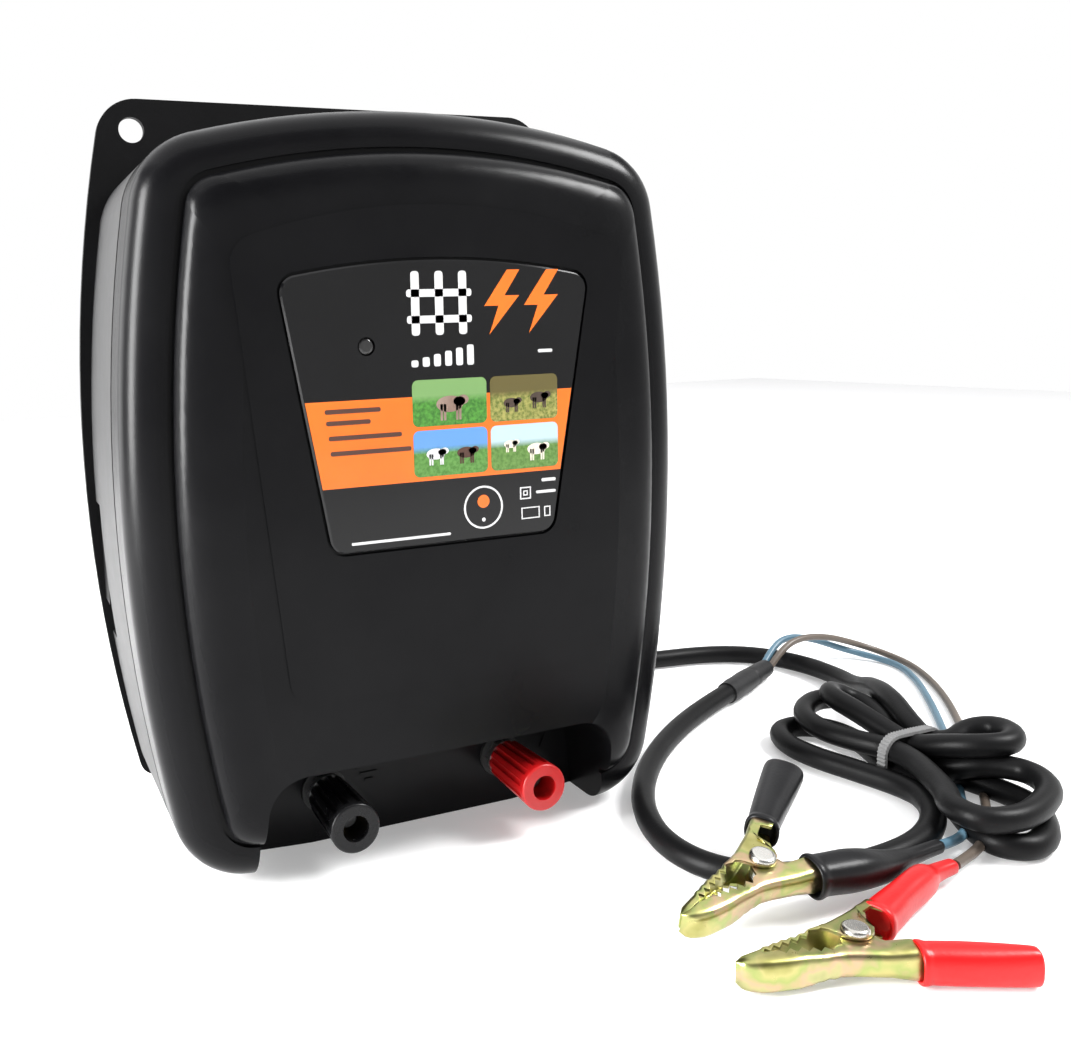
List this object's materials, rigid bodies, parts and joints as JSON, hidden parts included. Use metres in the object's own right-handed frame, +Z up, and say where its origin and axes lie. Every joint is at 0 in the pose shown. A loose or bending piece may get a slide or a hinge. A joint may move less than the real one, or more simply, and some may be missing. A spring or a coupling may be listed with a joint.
{
  "type": "electric fence energizer",
  "caption": "Battery-powered electric fence energizer: barrel-shaped wall-hung case, two screw terminals, and a battery lead with two spring clips.",
  "frame": {"origin": "bottom centre of the case and its wall bracket, without the battery lead and its clips", "axes": "+Z up, the front with the label and terminals faces -Y, the wall bracket is at +Y, +X is to the right of someone facing the front"},
  "size_m": [0.368, 0.2622, 0.2453],
  "materials": {
    "case_plastic": "satin black ABS, fine texture on the face",
    "bracket_plastic": "matt black plastic sheet",
    "label_gloss": "glossy black label with an orange band",
    "clear_lens": "tinted clear plastic light pipe",
    "led_lens": "tinted diffuse LED epoxy",
    "seal_rubber": "black rubber",
    "knob_black": "moulded black plastic, semi-gloss",
    "knob_red": "moulded red plastic, semi-gloss",
    "insert_brass": "turned brass",
    "zinc_steel": "bright zinc-plated steel",
    "board_laminate": "green solder mask",
    "capacitor_case": "moulded blue plastic",
    "device_epoxy": "black epoxy",
    "heat_sink_aluminium": "extruded aluminium",
    "core_steel": "varnished laminated steel",
    "winding_tape": "yellow winding tape",
    "lead_rubber": "black rubber cable sheath, slight sheen",
    "sleeve_rubber": "black heat-shrink sleeve",
    "core_blue": "light blue PVC core insulation",
    "core_brown": "brown PVC core insulation",
    "tie_nylon": "grey ribbed nylon tie",
    "clip_zinc": "yellow-passivated zinc-plated steel, iridescent",
    "rivet_steel": "domed nickel-plated steel",
    "spring_steel": "spring steel wire",
    "boot_black": "soft black PVC",
    "boot_red": "soft red PVC"
  },
  "bodies": {
    "root": {"black_clip_lower_jaw": "clip_zinc", "black_clip_rivet": "rivet_steel", "black_clip_spring": "spring_steel", "black_clip_wire_boot": "boot_black", "blue_core": "core_blue", "board_screws": "zinc_steel", "brown_core": "core_brown", "cable_gland": "seal_rubber", "case_screws": "zinc_steel", "circuit_board": "board_laminate", "discharge_switch": "device_epoxy", "earth_inner_nut": "zinc_steel", "earth_stud": "zinc_steel", "earth_stud_nut": "zinc_steel", "earth_stud_seal": "seal_rubber", "fence_inner_nut": "zinc_steel", "fence_stud": "zinc_steel", "fence_stud_nut": "zinc_steel", "fence_stud_seal": "seal_rubber", "front_cover": "case_plastic", "hank_tie": "tie_nylon", "heat_sink": "heat_sink_aluminium", "housing_seal": "seal_rubber", "indicator_led": "led_lens", "label_panel": "label_gloss", "lead_from_hank": "lead_rubber", "lead_hank": "lead_rubber", "lead_to_hank": "lead_rubber", "light_pipe": "clear_lens", "rear_housing": "case_plastic", "red_clip_end_boot": "boot_red", "red_clip_lower_jaw": "clip_zinc", "red_clip_rivet": "rivet_steel", "red_clip_spring": "spring_steel", "splice_sleeve_narrow": "sleeve_rubber", "splice_sleeve_wide": "sleeve_rubber", "storage_capacitor": "capacitor_case", "supply_capacitor": "capacitor_case", "transformer_core": "core_steel", "transformer_screws": "zinc_steel", "transformer_winding": "winding_tape", "wall_bracket": "bracket_plastic"},
    "earth_washer": {"earth_clamp_washer": "zinc_steel"},
    "earth_knob": {"earth_knob": "knob_black", "earth_knob_insert": "insert_brass"},
    "fence_washer": {"fence_clamp_washer": "zinc_steel"},
    "fence_knob": {"fence_knob": "knob_red", "fence_knob_insert": "insert_brass"},
    "black_jaw": {"black_clip_upper_jaw": "clip_zinc", "black_clip_end_boot": "boot_black"},
    "red_jaw": {"red_clip_upper_jaw": "clip_zinc", "red_clip_wire_boot": "boot_red"}
  },
  "joints": [
    {"name": "earth_clamp_travel", "type": "slide", "parent": "root", "child": "earth_washer", "axis": [0, -1, 0], "range_m": [0, 0.003]},
    {"name": "earth_knob_turn", "type": "hinge", "parent": "earth_washer", "child": "earth_knob", "pos_m": [-0.0323, -0.031, 0.0175], "axis": [0, -1, 0], "range_deg": [0, 1080]},
    {"name": "fence_clamp_travel", "type": "slide", "parent": "root", "child": "fence_washer", "axis": [0, -1, 0], "range_m": [0, 0.003]},
    {"name": "fence_knob_turn", "type": "hinge", "parent": "fence_washer", "child": "fence_knob", "pos_m": [0.0323, -0.031, 0.0175], "axis": [0, -1, 0], "range_deg": [0, 1080]},
    {"name": "black_clip_open", "type": "hinge", "parent": "root", "child": "black_jaw", "pos_m": [0.0648, -0.1066, 0.0123], "axis": [0.0209, 0.2274, -0.9736], "range_deg": [0, 20], "stiffness_Nm_per_rad": 0.3, "springref_deg": -20.05},
    {"name": "red_clip_open", "type": "hinge", "parent": "root", "child": "red_jaw", "pos_m": [0.0691, -0.1364, 0.00525], "axis": [0, 0, -1], "range_deg": [0, 20], "stiffness_Nm_per_rad": 0.3, "springref_deg": -20.05}
  ],
  "couplings": [
    {"joint": "earth_knob_turn", "follows": "earth_clamp_travel", "rad_per_m": 6283.1},
    {"joint": "fence_knob_turn", "follows": "fence_clamp_travel", "rad_per_m": 6283.1}
  ]
}
